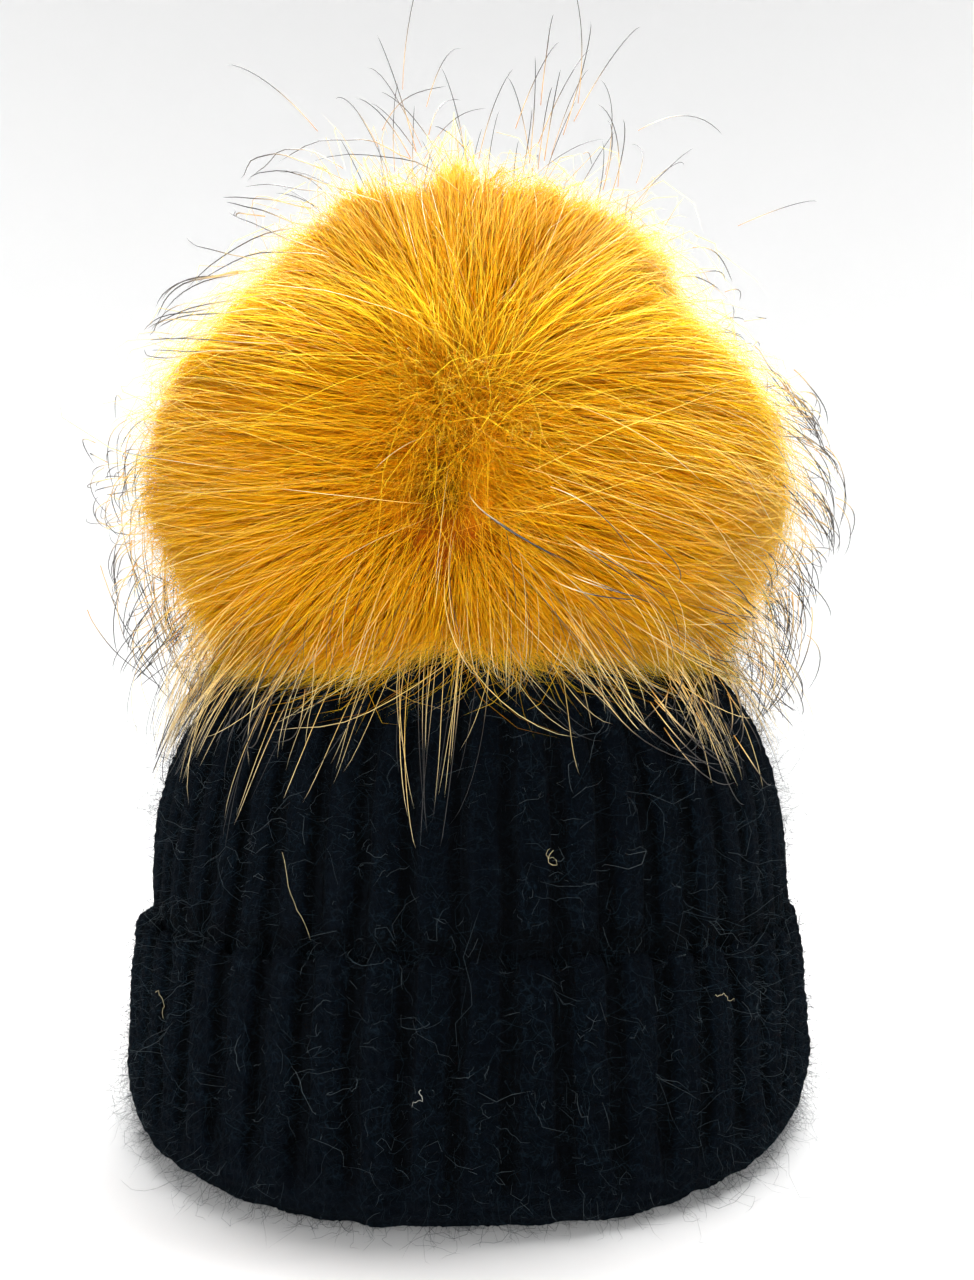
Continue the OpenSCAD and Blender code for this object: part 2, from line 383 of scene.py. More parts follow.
def lint(rng):
    """The stray hairs, each lying on the ribs."""
    steps, clear = 11, 0.5 * MM
    paths = []
    for azimuth, height, length, heading, kink in STRAYS:
        turned, z, course = math.radians(azimuth), height * MM, math.radians(heading)
        path = []
        for _ in range(steps + 1):
            r = CUFF_R + clear
            if z > CUFF_TOP:
                share = np.clip((z - SHOULDER_Z) / (CROWN_TOP - SHOULDER_Z), 0, 1)
                r = (BODY_R + PROUD) * (1 - share ** CROWN_POWER) ** (1 / CROWN_POWER) + clear
            path.append([r * math.sin(turned), -r * math.cos(turned), z])
            course += rng.normal() * kink
            turned += math.sin(course) * length / steps * MM / r
            z -= math.cos(course) * length / steps * MM
        paths.append(path)
    width = np.tile(np.linspace(1.0, 0.6, steps) * 0.055 * MM, (len(paths), 1))
    return strands("stray_lint", np.array(paths), width, rng.random(len(paths)), rng, sides=5)


# ---------------------------------------------------------------- fur

def direction(azimuth, elevation):
    """Unit vector from the pelt's middle: azimuth 0 is the front, positive to the right, in degrees."""
    a, e = np.radians(azimuth), np.radians(elevation)
    return np.stack([np.sin(a) * np.cos(e), -np.cos(a) * np.cos(e), np.sin(e)], -1)


def spread(count, lowest, rng):
    """Directions spread evenly over the sphere above the lowest elevation, by a golden spiral."""
    i = np.arange(count) + 0.5
    floor = math.sin(math.radians(lowest))
    up = 1 - i / count * (1 - floor)
    angle = i * math.pi * (3 - math.sqrt(5))
    across = np.sqrt(1 - up ** 2)
    u = np.stack([across * np.cos(angle), across * np.sin(angle), up], -1)
    return unit(u + rng.normal(size=u.shape) * 0.35 / math.sqrt(count))


# Whorls that the fur turns away from. Each is a short line on the ball, from its dark end to its faint one, with
# how far the fur round it lies over, how deep its crease is, and the angle that it reaches to, in radians.
WHORLS = [
    (direction(-5.0, -20.0), direction(-1.0, -3.0), 1.30, 1.0, 2.1),
    (direction(176.0, -6.0), direction(170.0, 14.0), 1.00, 0.7, 1.2),
]

# How wide a whorl is, in radians: where its hairs stand up, its crease, and the looser fur round it.
STANDING, CREASED, LOOSE = 0.17, 0.085, 0.24

# Tufts and dents in the ball's outline: azimuth and elevation in degrees, width in radians, height in mm.
LOBES = [(-4, 60, 0.11, 10.0), (-32, 47, 0.14, 2.5), (16, 50, 0.10, 2.0), (38, 45, 0.14, 2.5), (66, 42, 0.12, 3.5),
         (62, 22, 0.26, -9.0), (-50, 26, 0.20, -3.0), (-70, -2, 0.22, 1.5), (-84, -28, 0.26, -4.0),
         (-60, 52, 0.18, -2.0), (84, -22, 0.20, -2.5), (150, 30, 0.25, -4.0), (-150, 12, 0.22, -3.0),
         (130, -12, 0.30, 2.5), (-130, 45, 0.25, 3.0)]


def combed(u):
    """How far fur at u leans sideways, away from the whorls, how deep the crease is there, and how near a whorl."""
    lean = np.zeros_like(u)
    crease, parted = np.zeros((2, *u.shape[:-1]))
    for dark, faint, strength, depth, reach in WHORLS:
        line = faint - dark
        share = np.clip(((u - dark) @ line) / (line @ line), 0, 1)
        centre = unit(dark + share[..., None] * line)
        facing = (u * centre).sum(-1, keepdims=True)
        away = u * facing - centre
        angle = np.arccos(np.clip(facing[..., 0], -1, 1))
        laid = 0.40 + 0.60 * np.cos(np.minimum(angle, math.pi / 2)) ** 1.5
        laid = laid * (1 - np.exp(-(angle / STANDING) ** 2))
        lean += (strength * laid * smoothstep(reach, 0.75 * reach, angle))[..., None] * unit(away)
        crease += depth * (1 - 0.75 * share) * np.exp(-(angle / CREASED) ** 2)
        parted += (0.25 + 0.75 * share) * np.exp(-(angle / LOOSE) ** 2)
    return lean, crease, np.minimum(parted, 1)


def envelope(v):
    """How far the dense fur reaches from the middle of the ball in the direction v: the round fur, full below its
    middle, drawn in above it, and with lobes and dents."""
    up = np.clip(v[..., 2], -1, 1)
    above = np.degrees(np.arcsin(up))
    drop = PELT_C[2] - FUR_MIDDLE_Z
    reach = np.sqrt(FUR_R ** 2 - drop ** 2 * (1 - up ** 2)) - drop * up
    reach = reach + MM * (0.5 * np.exp(-((above + 13) / 9) ** 2) - 6.0 * np.exp(-((above - 25) / 15) ** 2)
                          - 8.5 * smoothstep(28, 62, above) - 1.0)
    for azimuth, elevation, width, height in LOBES:
        apart = ((v - direction(azimuth, elevation)) ** 2).sum(-1)
        reach = reach + height * MM * np.exp(-apart / width ** 2)
    return reach + MM * (0.8 * smooth_noise(v, 1.1, 71, 2) + 1.4 * smooth_noise(v, 0.33, 72, 2))


def hem(points):
    """Height of the fur's lower edge round the ball: lower at the front than at the sides and the back."""
    turned = points[..., 1] / np.maximum(np.hypot(points[..., 0], points[..., 1]), 1e-9)
    return (101 - 16.0 * np.maximum(-turned, 0) ** 2 + 1.5 * turned) * MM


def clear_of_crown(points, room):
    """Moves points that would be inside the knitting out to its surface."""
    x, y, z = points[..., 0], points[..., 1], points[..., 2]
    a = BODY_R + 1.2 * MM + room
    b = CROWN_TOP + 0.8 * MM + room - SHOULDER_Z
    r = np.hypot(x, y)
    inside = (r / a) ** CROWN_POWER + (np.maximum(z - SHOULDER_Z, 0) / b) ** CROWN_POWER
    grow = np.where(inside < 1, np.maximum(inside, 0.05) ** (-1 / CROWN_POWER), 1.0)
    moved = points.copy()
    moved[..., 0] = x * grow
    moved[..., 1] = y * grow
    moved[..., 2] = np.where(z > SHOULDER_Z, SHOULDER_Z + (z - SHOULDER_Z) * grow, z)
    return moved


def hair_paths(u, lean, t, droop, proud):
    """Paths of hairs that come out of the matted fur at u and lie over by lean. t is (n, k), from 0 at the skin to
    1 at the tip, which ends that far proud of the envelope."""
    turned = u[:, None] + lean[:, None] * (t ** 1.35 - 0.5 ** 1.35)[..., None]
    turned[..., 2] -= droop[:, None] * t ** 2
    v = unit(turned)
    flat = 1 + 2.0 * np.minimum(np.linalg.norm(lean, axis=-1), 1.1)[:, None]
    height = 1 - (1 - np.minimum(t, 1)) ** flat
    return PELT_C + v * (PELT_R + (envelope(v) + proud[:, None] - PELT_R) * height)[..., None]


def flow(u):
    """Sideways lean of the fur: the combing away from the whorls, with slow swirls."""
    swirl = np.stack([smooth_noise(u, 1.4, seed, 2) for seed in (81, 82, 83)], -1) * 0.13
    swirl += np.stack([smooth_noise(u, 0.45, seed, 2) for seed in (84, 85, 86)], -1) * 0.09
    comb, crease, parted = combed(u)
    lean = swirl + comb * (1 - 0.7 * smoothstep(-0.20, -0.68, u[..., 2:]))
    return lean - u * (lean * u).sum(-1, keepdims=True), crease, parted


def underfur(count_locks, per_lock, rng):
    """The dense fur, in locks whose hairs draw together a little towards their tips."""
    u = spread(count_locks, -56, rng)
    lean, crease, parted = flow(u)
    lean = lean + rng.normal(size=u.shape) * 0.05
    uneven = 0.9 + 1.3 * smoothstep(0.4, 0.8, u[:, 2])
    lock_proud = rng.normal(0, 1, len(u)) * uneven * MM - crease * 20 * MM
    n = count_locks * per_lock
    lock = np.repeat(np.arange(count_locks), per_lock)
    lock_size = math.sqrt(4 * math.pi / count_locks) * 0.72
    root_u = unit(u[lock] + rng.normal(size=(n, 3)) * lock_size * 0.6)
    proud = lock_proud[lock] + (2.6 - rng.gamma(1.8, 2.4, n)) * MM
    flyaway = rng.random(n) < 0.16
    proud += flyaway * rng.gamma(2.0, 2.0, n) * MM
    droop = (0.02 + 0.05 * smoothstep(0.3, -0.4, u[lock, 2]) + 0.03 * rng.random(n))
    start = rng.uniform(0.34, 0.60, n)
    steps = np.linspace(0, 1, 4)[None]
    t = start[:, None] + (1 - start[:, None]) * steps
    loose = rng.normal(size=(n, 3)) * (0.05 + 0.13 * parted[lock] + 0.16 * flyaway)[:, None]
    guide = hair_paths(u[lock], lean[lock], t, droop, proud)
    free = hair_paths(root_u, lean[lock] + loose, t, droop, proud)
    tufted = 0.15 + 0.60 * smoothstep(0.45, 0.95, u[lock, 2])
    draw = (rng.beta(3, 2.5, n) * tufted)[:, None] * steps ** 1.3
    path = free + (guide - free) * draw[..., None]
    wave = unit(np.cross(u[lock], rng.normal(size=(n, 3))))
    ripple = np.sin(t * rng.uniform(8, 16, (n, 1)) + rng.uniform(0, TAU, (n, 1)))
    path = path + wave[:, None] * (ripple * t)[..., None] * 0.5 * MM
    path = clear_of_crown(path, rng.uniform(0.8, 3.6, (n, 1)) * MM)
    width = rng.uniform(0.060, 0.100, n)[:, None] * MM * np.array([1.0, 0.95, 0.65])[None]
    width[flyaway] *= 0.7
    tone = 0.25 + 0.28 * np.repeat(rng.random(count_locks), per_lock) + 0.36 * rng.random(n)
    # flyaway hairs get the palest tone: thin pale hairs, and also a painted glow for the light through the fur's
    # rim
    tone[flyaway] = 1.0
    # painted shade: hairs are darker in the crease and where the fur parts
    tone *= 1 - np.minimum(1.3 * crease[lock] + 0.2 * parted[lock], 1)
    ragged = rng.normal(0, 2.5, count_locks)[lock] + rng.normal(0, 2.5, n)
    above = path[:, -1, 2] - hem(path[:, -1])
    tone *= 0.02 + 0.98 * smoothstep(-4 * MM, 8 * MM, above + ragged * MM)
    longest = np.linalg.norm(np.diff(path, axis=1), axis=-1).max(1)
    kept = (above > ragged * MM) & (longest < 22 * MM)
    return path[kept], width[kept], tone[kept]


def frizz(count, rng):
    """Short curly hairs that stand up where the fur parts."""
    share = rng.uniform(0.35, 1.5, (count, 1))
    front = rng.random((count, 1)) < 0.65
    middle = np.where(front, *(dark + (faint - dark) * share for dark, faint, *_ in WHORLS))
    u = unit(middle + rng.normal(size=(count, 3)) * 0.13)
    comb, crease, _ = combed(u)
    lean = rng.normal(size=(count, 3)) * 0.30 + 0.6 * comb
    t = np.linspace(0.45, 1, 7)[None] + np.zeros((count, 1))
    proud = rng.uniform(-8, 1, count) * MM - crease * 11 * MM
    path = hair_paths(u, lean, t, np.full(count, 0.05), proud)
    side = unit(np.cross(u, rng.normal(size=(count, 3))))
    other = np.cross(u, side)
    turn = t * rng.uniform(12, 24, (count, 1)) + rng.uniform(0, TAU, (count, 1))
    curl = side[:, None] * np.cos(turn)[..., None] + other[:, None] * np.sin(turn)[..., None]
    path = path + curl * (rng.uniform(0.4, 1.6, (count, 1)) * t)[..., None] * MM
    width = rng.uniform(0.05, 0.08, count)[:, None] * MM * np.linspace(1, 0.6, 6)[None]
    # painted shade: the curls' tone is darker in the crease
    return path, width, rng.uniform(0.2, 1.0, count) * (1 - 0.9 * np.minimum(crease, 1))


def long_hairs(u, lean, droop, proud, rng, thickness, bow, lift, clump=None, gather=0.0, start=0.5):
    """Guard hairs along their paths from start, each bowed its own way, and up to lift mm clear of the knitting.
    Hairs of one clump gather towards their tips."""
    count, steps = len(u), 11
    lean = lean - u * (lean * u).sum(-1, keepdims=True)
    share = np.linspace(0, 1, steps)[None]
    t = start + (1 - start) * share + np.zeros((count, 1))
    path = hair_paths(u, lean, t, droop, proud)
    side = unit(np.cross(u, rng.normal(size=(count, 3))))
    path = path + side[:, None] * (share ** 2 * bow * rng.uniform(-1.6, 1.6, (count, 1)))[..., None]
    if clump is not None:
        members = np.bincount(clump)[:, None, None]
        total = np.zeros((len(members), steps, 3))
        np.add.at(total, clump, path)
        pull = gather * rng.uniform(0.5, 1.0, (count, 1)) * share ** 1.5
        path = path + (total[clump] / members[clump] - path) * pull[..., None]
    path = clear_of_crown(path, rng.uniform(0.8, lift, (count, 1)) * MM)
    profile = np.interp(share[0, :-1], [0, 0.45, 0.8, 1.0], [0.8, 1.0, 0.8, 0.35])
    width = rng.uniform(0.75, 1.2, count)[:, None] * thickness * profile[None]
    return path, width


def clumped(u_clump, members, scatter, rng):
    """Directions in clumps, and each one's clump."""
    clump = np.repeat(np.arange(len(u_clump)), members)
    return unit(u_clump[clump] + rng.normal(size=(len(clump), 3)) * scatter), clump


def astray(clumps, clump, together, alone, rng):
    """How far hairs lean out of the flow of the fur: each clump one way, and each hair a little more."""
    return rng.normal(size=(clumps, 3))[clump] * together + rng.normal(size=(len(clump), 3)) * alone


def veil(count, rng):
    """Pale guard hairs that sweep over the dense fur, close to it."""
    u, clump = clumped(spread(count // 4, -40, rng), 4, 0.13, rng)
    lean = flow(u)[0] * 1.2 + astray(len(u) // 4, clump, 0.25, 0.14, rng)
    droop = 0.10 + 0.30 * rng.random(len(u))
    proud = rng.gamma(1.6, 2.4, len(u)) * MM
    path, width = long_hairs(u, lean, droop, proud, rng, thickness=0.078 * MM, bow=4 * MM, lift=3.0)
    dark = rng.random(len(u)) < 0.10
    return path, width, np.where(dark, rng.uniform(0.5, 0.8, len(u)), rng.uniform(0, 0.28, len(u)))


def wisps(count, rng):
    """Dark-tipped guard hairs in loose clumps that stand well out of the fur and hang at the sides."""
    centre = spread(count, -40, rng)
    low = smoothstep(0.45, 0.1, centre[:, 2])
    beside = smoothstep(0.75, 0.45, centre @ direction(-3, 0))
    kept = rng.random(count) < (0.12 + 0.88 * low) * (0.06 + 0.94 * beside)
    centre, low = centre[kept], low[kept]
    members = np.round(rng.uniform(1, 4, len(centre)) + low * rng.uniform(6, 20, len(centre))).astype(int)
    u, clump = clumped(centre, members, 0.075, rng)
    lean = flow(u)[0] * 0.6 + astray(len(centre), clump, 0.20, 0.09, rng)
    droop = 0.04 + 0.20 * smoothstep(0.5, -0.1, u[:, 2]) + 0.06 * rng.random(len(u))
    reach = rng.uniform(8, 20, len(centre))[clump] + rng.normal(0, 3.5, len(u))
    reach = reach.clip(3, 26) * MM
    path, width = long_hairs(u, lean, droop, reach, rng, thickness=0.13 * MM, bow=1.6 * MM, lift=5.0,
                             clump=clump, gather=0.75, start=0.68)
    return path, width, rng.uniform(0.6, 1.0, len(u))


def topknot(count, rng):
    """Single black-tipped hairs that stand up out of the top, some of them bent over."""
    u = unit(direction(10, 80) + rng.normal(size=(count, 3)) * [0.33, 0.18, 0.1])
    lean = rng.normal(size=(count, 3)) * 0.17
    reach = (48 - rng.gamma(1.6, 9.0, count)).clip(5, 48) * MM
    path, width = long_hairs(u, lean, np.zeros(count), reach, rng, thickness=0.13 * MM, bow=3 * MM, lift=5.0,
                             start=0.6)
    return path, width, rng.uniform(0.85, 1.0, count)


def fringe(count, rng):
    """Pale guard hairs that hang from the lower edge over the knitting, in clumps that draw to a point."""
    azimuth = (np.arange(count) + rng.uniform(-0.5, 0.5, count)) / count * 360
    centre = direction(azimuth, rng.uniform(-40, -31, count))
    fuller = 1 - 0.55 * np.maximum(np.sin(np.radians(azimuth)), 0)
    members = np.maximum(rng.integers(5, 34, count) * fuller, 3).astype(int)
    u, clump = clumped(centre, members, 0.085, rng)
    lean = flow(u)[0] * 0.3 + astray(count, clump, 0.09, 0.04, rng)
    longer = 1 + 0.4 * np.exp(-((np.abs(azimuth - 345) - 12) / 14) ** 2)
    length = (rng.beta(2.0, 1.3, count) * longer)[clump] * rng.uniform(0.5, 1.1, len(u))
    droop = 0.06 + 0.20 * length
    proud = (-1 + 34 * length + rng.normal(0, 2.0, len(u))) * MM
    path, width = long_hairs(u, lean, droop, proud, rng, thickness=0.062 * MM, bow=1.4 * MM, lift=4.0,
                             clump=clump, gather=0.8, start=0.52)
    dark = rng.random(len(u)) < 0.35
    return path, width, np.where(dark, rng.uniform(0.36, 0.6, len(u)), rng.uniform(0, 0.3, len(u)))


def fur_core():
    """The matted inner fur, a lumpy solid hollowed underneath for the crown."""
    columns, rows = 260, 120
    azimuth, elevation = np.meshgrid(np.linspace(0, 360, columns, endpoint=False), np.linspace(-40, 89.6, rows))
    v = direction(azimuth, elevation)
    _, crease, parted = combed(v)
    reach = PELT_R + (envelope(v) - PELT_R) * (0.78 - 0.24 * crease - 0.05 * parted)
    reach = reach + MM * smooth_noise(v, 0.16, 91, 3)
    outer = PELT_C + v * reach[..., None]
    rim = outer[0]
    under = []
    for share, lift in ((0.96, 2.5), (0.80, 8.0), (0.6, 13.0), (0.42, 16.5), (0.28, 18.0), (0.12, 19.0)):
        under.append(np.column_stack([rim[:, :2] * share, rim[:, 2] + lift * MM]))
    under = clear_of_crown(np.stack(under), 0.8 * MM)
    under[..., 2] = np.minimum(under[..., 2], PELT_LOW[2] + 1.5 * MM)
    low = clear_of_crown(outer, 0.3 * MM)
    # painted shade: darker in the crease, where the fur parts, low on the rim, and all over the hollow underneath
    shade = np.minimum(1, crease + 0.35 * parted + smoothstep(-18, -30, elevation))
    shade = np.concatenate([np.ones((len(under), columns)), shade])
    return loft("fur_core", np.concatenate([under[::-1], low]), attributes={"shade": shade})


# ---------------------------------------------------------------- materials

class Surface:
    """A material under construction: its node tree, its Principled shader, and short ways to add nodes."""

    def __init__(self, name, roughness, **sockets):
        self.material = bpy.data.materials.new(name)
        self.material.use_nodes = True
        self.tree = self.material.node_tree
        self.shader = self.tree.nodes["Principled BSDF"]
        self.shader.inputs["Roughness"].default_value = roughness
        for key, value in sockets.items():
            self.shader.inputs[key.replace("_", " ")].default_value = value

    def node(self, kind, **inputs):
        """A new node, its inputs set or linked, their names with _ for a space."""
        made = self.tree.nodes.new(kind)
        for key, value in inputs.items():
            self.feed(made.inputs[key.replace("_", " ")], value)
        return made

    def feed(self, socket, value):
        """Sets a socket to a value, or links it to another socket."""
        if isinstance(value, bpy.types.NodeSocket):
            self.tree.links.new(value, socket)
        else:
            socket.default_value = value

    def attribute(self, name):
        made = self.tree.nodes.new("ShaderNodeAttribute")
        made.attribute_name = name
        return made.outputs["Fac"]

    def noise(self, scale, detail=2.0, roughness=0.5):
        return self.node("ShaderNodeTexNoise", Vector=self.place(), Scale=scale, Detail=detail,
                         Roughness=roughness).outputs["Fac"]

    def place(self):
        return self.tree.nodes.new("ShaderNodeTexCoord").outputs["Object"]

    def ramp(self, factor, stops):
        """A colour ramp: each stop is a position and a colour."""
        made = self.node("ShaderNodeValToRGB", Fac=factor)
        stop = made.color_ramp.elements
        while len(stop) < len(stops):
            stop.new(0.5)
        for element, (at, colour) in zip(stop, stops):
            element.position = at
            element.color = (*colour, 1)
        return made.outputs["Color"]

    def mix(self, factor, a, b, blend="MIX"):
        made = self.tree.nodes.new("ShaderNodeMix")
        made.data_type = "RGBA"
        made.blend_type = blend
        self.feed(made.inputs[0], factor)
        for socket, value in ((made.inputs[6], a), (made.inputs[7], b)):
            self.feed(socket, (*value, 1) if isinstance(value, tuple) else value)
        return made.outputs[2]

    def maths(self, operation, a, b=0.0, c=0.0):
        made = self.tree.nodes.new("ShaderNodeMath")
        made.operation = operation
        for socket, value in zip(made.inputs, (a, b, c)):
            self.feed(socket, value)
        return made.outputs[0]

    def colour(self, value):
        self.feed(self.shader.inputs["Base Color"], value)
        return self

    def bump(self, height, distance, strength=1.0):
        made = self.node("ShaderNodeBump", Height=height, Distance=distance, Strength=strength)
        self.feed(self.shader.inputs["Normal"], made.outputs["Normal"])
        return self


def knit_material():
    """Dark navy yarn: plied strands in every stitch, lint-grey fibres in it, and painted shade in the valleys of
    the rib.
    """
    s = Surface("navy_rib_knit", 0.95, Sheen_Weight=0.015, Sheen_Roughness=0.5, Sheen_Tint=(0.30, 0.42, 0.60, 1),
                Specular_IOR_Level=0.02)
    relief = s.attribute("relief")
    uv = s.tree.nodes.new("ShaderNodeUVMap")
    uv.uv_map = "knit"
    wale, row, _ = s.node("ShaderNodeSeparateXYZ", Vector=uv.outputs["UV"]).outputs
    across = s.maths("ABSOLUTE", s.maths("SUBTRACT", s.maths("FRACT", wale), 0.5))
    slant = s.maths("ADD", row, s.maths("MULTIPLY", across, 0.9))
    vee = s.maths("SINE", s.maths("MULTIPLY", slant, TAU))
    ply = s.maths("SINE", s.maths("MULTIPLY", s.maths("ADD", slant, s.maths("MULTIPLY", across, 3.0)), 5 * TAU))
    fine = s.noise(2600, 3, 0.65)
    broad = s.noise(160, 2)
    height = s.maths("ADD", s.maths("MULTIPLY", vee, 0.25), s.maths("MULTIPLY", ply, 0.10))
    s.bump(s.maths("ADD", height, s.maths("MULTIPLY", fine, 1.1)), 0.5 * MM, 0.9)
    # painted shade: the yarn is near-black where the relief is low, in the rib's valleys and by the cuff's top edge
    tone = s.ramp(s.maths("ADD", relief, s.maths("MULTIPLY", s.maths("SUBTRACT", broad, 0.5), 0.5)), [
        (0.0, (0.0001, 0.0001, 0.0001)), (0.45, (0.0001, 0.0001, 0.0002)), (0.75, (0.0004, 0.0010, 0.0020))])
    mottled = s.ramp(s.noise(620, 3, 0.7), [(0.35, (0.55, 0.55, 0.55)), (0.65, (1.5, 1.5, 1.5))])
    tone = s.mix(1.0, tone, mottled, "MULTIPLY")
    for scale, strength in ((150, 0.9), (240, 0.7), (330, 0.6)):
        off_centre = s.maths("ABSOLUTE", s.maths("SUBTRACT", s.noise(scale, 2.5, 0.62), 0.5))
        fibre = s.ramp(off_centre, [(0.0, (0.0030, 0.0058, 0.0082)), (0.011, (0, 0, 0))])
        tone = s.mix(strength, tone, fibre, "ADD")
    # painted shade: a further darkening of the valleys by the relief
    valley_shade = s.ramp(relief, [(0.15, (0.35, 0.35, 0.35)), (0.6, (1, 1, 1))])
    tone = s.mix(1.0, tone, valley_shade, "MULTIPLY")
    return s.colour(tone).material


def fuzz_material():
    """Navy fuzz, a few of its fibres pale."""
    s = Surface("navy_angora_fuzz", 0.8, Specular_IOR_Level=0.06)
    tone = s.attribute("tone")
    base = s.ramp(tone, [(0.0, (0.001, 0.003, 0.004)), (0.5, (0.002, 0.006, 0.009)), (0.85, (0.014, 0.026, 0.035)),
                         (1.0, (0.10, 0.12, 0.13))])
    tip = s.ramp(s.attribute("along"), [(0.0, (0.6, 0.6, 0.6)), (1.0, (1.5, 1.5, 1.5))])
    return s.colour(s.mix(1.0, base, tip, "MULTIPLY")).material


def lint_material():
    """Pale hairs, yellowish to grey."""
    s = Surface("pale_lint", 0.7)
    return s.colour(s.ramp(s.attribute("tone"), [(0.0, (0.42, 0.35, 0.18)), (1.0, (0.34, 0.36, 0.35))])).material


def underfur_material():
    """Dyed golden fur: deep amber at the root, saturated gold, and paler where the tips thin out. Low tones darken
    it with painted shade, and the top tone makes flyaway hairs pale, partly a painted glow.
    """
    s = Surface("golden_underfur", 0.7, Subsurface_Weight=0.85, Subsurface_Scale=1.7 * MM,
                Subsurface_Radius=(1.0, 1.0, 1.0), Specular_IOR_Level=0.03)
    along, tone = s.attribute("along"), s.attribute("tone")
    gold = s.ramp(along, [(0.0, (0.96, 0.32, 0.002)), (0.35, (0.99, 0.38, 0.002)), (0.75, (1.0, 0.415, 0.003)),
                          (1.0, (1.0, 0.46, 0.010))])
    # low tone: painted shade in the crease and parting, and darker fur at the hem; top tone: the pale flyaways
    shade = s.ramp(tone, [(0.0, (0.42, 0.25, 0.30)), (0.18, (0.97, 0.84, 0.75)), (0.6, (0.99, 0.98, 0.95)),
                          (0.9, (1.0, 1.04, 1.4)), (1.0, (1.0, 1.10, 8.0))])
    drift = s.ramp(s.noise(38, 2), [(0.3, (0.96, 0.93, 0.90)), (0.7, (1.02, 1.02, 1.02))])
    return s.colour(s.mix(1.0, s.mix(1.0, gold, shade, "MULTIPLY"), drift, "MULTIPLY")).material


def guard_hair_material():
    """Cream hairs, golden at the root, most of them with a near-black tip."""
    s = Surface("cream_guard_hair", 0.38, Specular_IOR_Level=0.5)
    along, tone = s.attribute("along"), s.attribute("tone")
    pale = s.ramp(along, [(0.0, (0.80, 0.38, 0.03)), (0.35, (0.84, 0.52, 0.12)), (0.7, (0.78, 0.58, 0.24)),
                          (1.0, (0.62, 0.52, 0.30))])
    dark = s.ramp(along, [(0.0, (0.62, 0.30, 0.04)), (0.20, (0.70, 0.50, 0.20)), (0.34, (0.30, 0.22, 0.12)),
                          (0.46, (0.030, 0.024, 0.020)), (1.0, (0.006, 0.006, 0.007))])
    banded = s.ramp(tone, [(0.30, (0, 0, 0)), (0.34, (1, 1, 1))])
    return s.colour(s.mix(banded, pale, dark)).material


def core_material():
    """The matted root of the fur, streaked, with painted shade where its shade attribute is high."""
    s = Surface("matted_fur", 0.85, Specular_IOR_Level=0.05)
    streak = s.noise(900, 3, 0.7)
    s.bump(streak, 1.2 * MM, 0.8)
    gold = s.ramp(streak, [(0.25, (0.62, 0.22, 0.002)), (0.55, (0.80, 0.36, 0.003)), (0.8, (0.92, 0.48, 0.006))])
    deep = s.ramp(s.attribute("shade"), [(0.0, (1, 1, 1)), (0.35, (0.8, 0.62, 0.5)), (1.0, (0.30, 0.16, 0.10))])
    return s.colour(s.mix(1.0, gold, deep, "MULTIPLY")).material


def fibre_material(name, roughness, sheen, grain, relief, stops):
    """A cloth, thread or filling whose bump and colour both follow one fine noise."""
    s = Surface(name, roughness, Sheen_Weight=sheen)
    fibre = s.noise(*grain)
    distance, strength = relief
    return s.bump(fibre, distance * MM, strength).colour(s.ramp(fibre, stops)).material


def fleece_material():
    """Dark brushed fleece."""
    s = Surface("dark_fleece", 0.95, Sheen_Weight=0.5)
    pile = s.noise(1500, 3, 0.7)
    s.bump(s.maths("ADD", pile, s.maths("MULTIPLY", s.noise(260, 2), 0.8)), 0.5 * MM, 0.9)
    return s.colour(s.ramp(pile, [(0.3, (0.006, 0.008, 0.012)), (0.75, (0.026, 0.030, 0.038))])).material


def metal_material():
    """Nickel-plated snap: fine turning marks and a little tarnish."""
    s = Surface("nickel_snap", 0.32, Metallic=1.0)
    marks = s.noise(2200, 3, 0.6)
    tarnish = s.noise(420, 3)
    s.feed(s.shader.inputs["Roughness"], s.maths("MULTIPLY_ADD", tarnish, 0.30, 0.18))
    s.bump(marks, 0.03 * MM, 0.5)
    return s.colour(s.ramp(tarnish, [(0.3, (0.42, 0.41, 0.40)), (0.7, (0.66, 0.65, 0.63))])).material


def label_material():
    """White woven satin with a close diagonal weave."""
    s = Surface("label_satin", 0.42, Sheen_Weight=0.2)
    weave = s.node("ShaderNodeTexWave", Scale=900.0, Distortion=0.4, Vector=s.place())
    weave.bands_direction = "DIAGONAL"
    s.bump(weave.outputs["Fac"], 0.05 * MM, 0.6)
    return s.colour(s.ramp(weave.outputs["Fac"], [(0.2, (0.62, 0.61, 0.58)), (0.8, (0.80, 0.79, 0.76))])).material


def pelt_material():
    """Tanned hide, tan with a fine grain."""
    s = Surface("tanned_pelt", 0.7)
    grain = s.node("ShaderNodeTexVoronoi", Scale=900.0, Vector=s.place()).outputs["Distance"]
    s.bump(grain, 0.15 * MM, 0.6)
    return s.colour(s.ramp(grain, [(0.1, (0.30, 0.17, 0.06)), (0.6, (0.56, 0.36, 0.16))])).material


def dress(obj, material, body, slot, *nodes):
    """Gives a piece its material and the body it rides on, and hides the CAD nodes that it stands for; slot is not
    used.
    A piece on the body "pompom_fur" gets no parent: its transform is baked into its mesh."""
    obj.data.materials.clear()
    obj.data.materials.append(material)
    if body == "pompom_fur":
        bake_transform(obj)
    else:
        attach(obj, body)
    if nodes:
        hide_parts(*nodes)
    return obj


# ---------------------------------------------------------------- sewn and trimmed pieces

